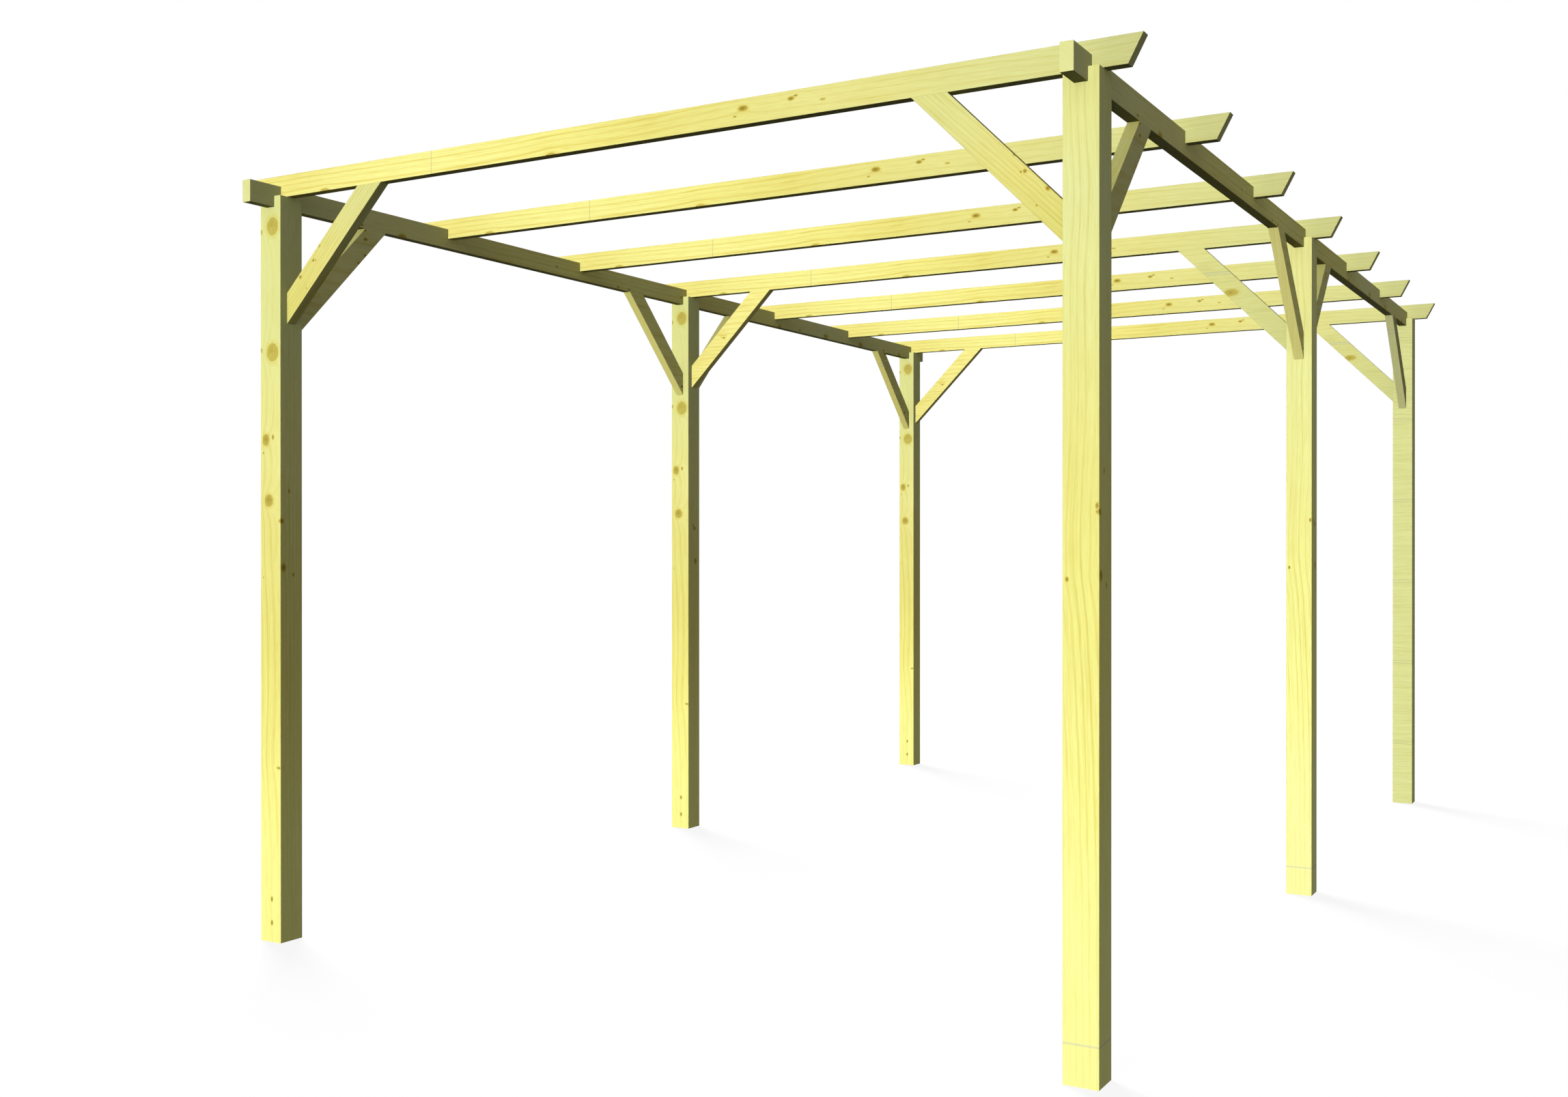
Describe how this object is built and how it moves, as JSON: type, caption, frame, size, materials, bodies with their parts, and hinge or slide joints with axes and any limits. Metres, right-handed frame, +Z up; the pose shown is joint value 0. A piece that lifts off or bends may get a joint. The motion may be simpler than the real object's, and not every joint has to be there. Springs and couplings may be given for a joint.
{
  "type": "wooden pergola",
  "caption": "Free-standing timber pergola: square posts with long rails let into their tops, notched rafters laid across the rails, and diagonal knee braces.",
  "frame": {"origin": "on the ground at the centre of the plan, level with the feet of the posts", "axes": "+X across the pergola towards its right row of posts, +Y along the rails towards the back, +Z up"},
  "size_m": [3, 5, 2.47],
  "materials": {
    "post_timber": "planed softwood, pressure treated to a pale yellow green, unpainted",
    "rail_timber": "planed softwood, pressure treated to a pale yellow green, unpainted",
    "rafter_timber": "planed softwood, pressure treated to a pale yellow green, unpainted",
    "brace_timber": "planed softwood, pressure treated to a pale yellow green, unpainted"
  },
  "bodies": {
    "root": {"post_left_1": "post_timber", "post_left_2": "post_timber", "post_left_3": "post_timber", "post_right_1": "post_timber", "post_right_2": "post_timber", "post_right_3": "post_timber", "rafter_1": "rafter_timber", "rafter_2": "rafter_timber", "rafter_3": "rafter_timber", "rafter_4": "rafter_timber", "rafter_5": "rafter_timber", "rafter_6": "rafter_timber", "rafter_7": "rafter_timber", "rafter_brace_left_1": "brace_timber", "rafter_brace_left_2": "brace_timber", "rafter_brace_left_3": "brace_timber", "rafter_brace_right_1": "brace_timber", "rafter_brace_right_2": "brace_timber", "rafter_brace_right_3": "brace_timber", "rail_brace_left_1_back": "brace_timber", "rail_brace_left_2_back": "brace_timber", "rail_brace_left_2_front": "brace_timber", "rail_brace_left_3_front": "brace_timber", "rail_brace_right_1_back": "brace_timber", "rail_brace_right_2_back": "brace_timber", "rail_brace_right_2_front": "brace_timber", "rail_brace_right_3_front": "brace_timber", "rail_left": "rail_timber", "rail_right": "rail_timber"}
  },
  "joints": []
}
